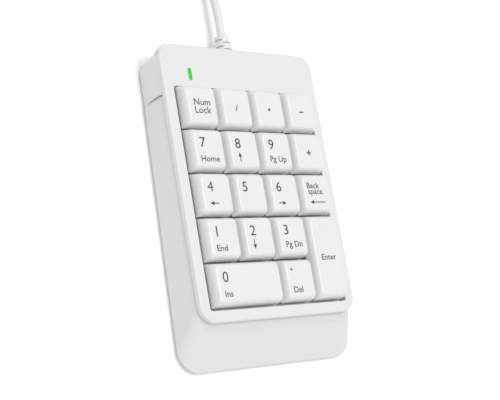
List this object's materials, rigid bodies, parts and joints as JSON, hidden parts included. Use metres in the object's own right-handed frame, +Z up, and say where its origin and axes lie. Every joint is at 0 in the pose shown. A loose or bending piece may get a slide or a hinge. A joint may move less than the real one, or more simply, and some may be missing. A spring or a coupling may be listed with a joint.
{
  "type": "numeric keypad",
  "caption": "Wired numeric keypad with low-profile sprung keys in a slim two-piece case that slopes down in front, with its cable coiled behind it.",
  "frame": {"origin": "on the table under the middle of the case, leaving the cable out", "axes": "+X to the user's right, +Y from the nose to the rear edge where the cable leaves, +Z up from the table"},
  "size_m": [0.1194, 0.2312, 0.0199],
  "materials": {
    "cover_plastic": "fine satin texture, white",
    "shell_plastic": "fine satin texture, white",
    "key_plastic": "smooth satin, white, printed legends",
    "green_window": "clear green light guide, lit",
    "led_lens": "clear moulded lens",
    "membrane_film": "thin polyester film",
    "dome_silicone": "translucent silicone",
    "board": "solder-masked laminate",
    "chip": "moulded package",
    "dark_plastic": "moulded plastic",
    "lead_insulation": "wire insulation",
    "screw_steel": "zinc-plated",
    "wire_steel": "drawn wire",
    "foot_rubber": "matt rubber",
    "relief_plastic": "soft white overmould",
    "cable_jacket": "smooth white jacket",
    "tie_plastic": "coated tie",
    "plug_metal": "nickel-plated",
    "tongue_plastic": "white moulding"
  },
  "bodies": {
    "case": {"top_cover": "cover_plastic", "lower_shell": "shell_plastic", "status_window": "green_window", "status_led": "led_lens", "membrane_top": "membrane_film", "membrane_spacer": "membrane_film", "membrane_bottom": "membrane_film", "circuit_board": "board", "controller_chip": "chip", "membrane_clamp": "dark_plastic", "inner_leads": "lead_insulation", "case_screws": "screw_steel", "board_screws": "screw_steel", "rubber_feet": "foot_rubber", "strain_relief": "relief_plastic", "cable_lead": "cable_jacket", "cable_coil": "cable_jacket", "cable_tail": "cable_jacket", "cable_tie": "tie_plastic", "plug_grip": "relief_plastic", "plug_shell": "plug_metal", "plug_tongue": "tongue_plastic", "dome_num_lock": "dome_silicone", "dome_divide": "dome_silicone", "dome_multiply": "dome_silicone", "dome_minus": "dome_silicone", "dome_7": "dome_silicone", "dome_8": "dome_silicone", "dome_9": "dome_silicone", "dome_plus": "dome_silicone", "dome_4": "dome_silicone", "dome_5": "dome_silicone", "dome_6": "dome_silicone", "dome_backspace": "dome_silicone", "dome_1": "dome_silicone", "dome_2": "dome_silicone", "dome_3": "dome_silicone", "dome_enter": "dome_silicone", "dome_0": "dome_silicone", "dome_decimal": "dome_silicone"},
    "key_num_lock_body": {"key_num_lock": "key_plastic"},
    "key_divide_body": {"key_divide": "key_plastic"},
    "key_multiply_body": {"key_multiply": "key_plastic"},
    "key_minus_body": {"key_minus": "key_plastic"},
    "key_7_body": {"key_7": "key_plastic"},
    "key_8_body": {"key_8": "key_plastic"},
    "key_9_body": {"key_9": "key_plastic"},
    "key_plus_body": {"key_plus": "key_plastic"},
    "key_4_body": {"key_4": "key_plastic"},
    "key_5_body": {"key_5": "key_plastic"},
    "key_6_body": {"key_6": "key_plastic"},
    "key_backspace_body": {"key_backspace": "key_plastic"},
    "key_1_body": {"key_1": "key_plastic"},
    "key_2_body": {"key_2": "key_plastic"},
    "key_3_body": {"key_3": "key_plastic"},
    "key_enter_body": {"key_enter": "key_plastic"},
    "key_0_body": {"key_0": "key_plastic"},
    "key_decimal_body": {"key_decimal": "key_plastic"},
    "zero_wire": {"zero_stabiliser": "wire_steel"},
    "enter_wire": {"enter_stabiliser": "wire_steel"}
  },
  "joints": [
    {"name": "key_num_lock_press", "type": "slide", "parent": "case", "child": "key_num_lock_body", "axis": [0, 0, -1], "range_m": [0, 0.003], "stiffness_N_per_m": 180, "springref_m": -0.0006, "deforming": ["dome_num_lock"]},
    {"name": "key_divide_press", "type": "slide", "parent": "case", "child": "key_divide_body", "axis": [0, 0, -1], "range_m": [0, 0.003], "stiffness_N_per_m": 180, "springref_m": -0.0006, "deforming": ["dome_divide"]},
    {"name": "key_multiply_press", "type": "slide", "parent": "case", "child": "key_multiply_body", "axis": [0, 0, -1], "range_m": [0, 0.003], "stiffness_N_per_m": 180, "springref_m": -0.0006, "deforming": ["dome_multiply"]},
    {"name": "key_minus_press", "type": "slide", "parent": "case", "child": "key_minus_body", "axis": [0, 0, -1], "range_m": [0, 0.003], "stiffness_N_per_m": 180, "springref_m": -0.0006, "deforming": ["dome_minus"]},
    {"name": "key_7_press", "type": "slide", "parent": "case", "child": "key_7_body", "axis": [0, 0, -1], "range_m": [0, 0.003], "stiffness_N_per_m": 180, "springref_m": -0.0006, "deforming": ["dome_7"]},
    {"name": "key_8_press", "type": "slide", "parent": "case", "child": "key_8_body", "axis": [0, 0, -1], "range_m": [0, 0.003], "stiffness_N_per_m": 180, "springref_m": -0.0006, "deforming": ["dome_8"]},
    {"name": "key_9_press", "type": "slide", "parent": "case", "child": "key_9_body", "axis": [0, 0, -1], "range_m": [0, 0.003], "stiffness_N_per_m": 180, "springref_m": -0.0006, "deforming": ["dome_9"]},
    {"name": "key_plus_press", "type": "slide", "parent": "case", "child": "key_plus_body", "axis": [0, 0, -1], "range_m": [0, 0.003], "stiffness_N_per_m": 180, "springref_m": -0.0006, "deforming": ["dome_plus"]},
    {"name": "key_4_press", "type": "slide", "parent": "case", "child": "key_4_body", "axis": [0, 0, -1], "range_m": [0, 0.003], "stiffness_N_per_m": 180, "springref_m": -0.0006, "deforming": ["dome_4"]},
    {"name": "key_5_press", "type": "slide", "parent": "case", "child": "key_5_body", "axis": [0, 0, -1], "range_m": [0, 0.003], "stiffness_N_per_m": 180, "springref_m": -0.0006, "deforming": ["dome_5"]},
    {"name": "key_6_press", "type": "slide", "parent": "case", "child": "key_6_body", "axis": [0, 0, -1], "range_m": [0, 0.003], "stiffness_N_per_m": 180, "springref_m": -0.0006, "deforming": ["dome_6"]},
    {"name": "key_backspace_press", "type": "slide", "parent": "case", "child": "key_backspace_body", "axis": [0, 0, -1], "range_m": [0, 0.003], "stiffness_N_per_m": 180, "springref_m": -0.0006, "deforming": ["dome_backspace"]},
    {"name": "key_1_press", "type": "slide", "parent": "case", "child": "key_1_body", "axis": [0, 0, -1], "range_m": [0, 0.003], "stiffness_N_per_m": 180, "springref_m": -0.0006, "deforming": ["dome_1"]},
    {"name": "key_2_press", "type": "slide", "parent": "case", "child": "key_2_body", "axis": [0, 0, -1], "range_m": [0, 0.003], "stiffness_N_per_m": 180, "springref_m": -0.0006, "deforming": ["dome_2"]},
    {"name": "key_3_press", "type": "slide", "parent": "case", "child": "key_3_body", "axis": [0, 0, -1], "range_m": [0, 0.003], "stiffness_N_per_m": 180, "springref_m": -0.0006, "deforming": ["dome_3"]},
    {"name": "key_enter_press", "type": "slide", "parent": "case", "child": "key_enter_body", "axis": [0, 0, -1], "range_m": [0, 0.003], "stiffness_N_per_m": 180, "springref_m": -0.0006, "deforming": ["dome_enter"]},
    {"name": "key_0_press", "type": "slide", "parent": "case", "child": "key_0_body", "axis": [0, 0, -1], "range_m": [0, 0.003], "stiffness_N_per_m": 180, "springref_m": -0.0006, "deforming": ["dome_0"]},
    {"name": "key_decimal_press", "type": "slide", "parent": "case", "child": "key_decimal_body", "axis": [0, 0, -1], "range_m": [0, 0.003], "stiffness_N_per_m": 180, "springref_m": -0.0006, "deforming": ["dome_decimal"]},
    {"name": "zero_wire_swing", "type": "hinge", "parent": "case", "child": "zero_wire", "pos_m": [-0.01905, -0.04115, 0.0129], "axis": [1, 0, 0], "range_deg": [-19.52, 0]},
    {"name": "enter_wire_swing", "type": "hinge", "parent": "case", "child": "enter_wire", "pos_m": [0.03417, -0.02602, 0.0129], "axis": [0, 1, 0], "range_deg": [-19.52, 0]}
  ],
  "couplings": [
    {"joint": "zero_wire_swing", "follows": "key_0_press", "rad_per_m": -113.28},
    {"joint": "enter_wire_swing", "follows": "key_enter_press", "rad_per_m": -113.28}
  ]
}
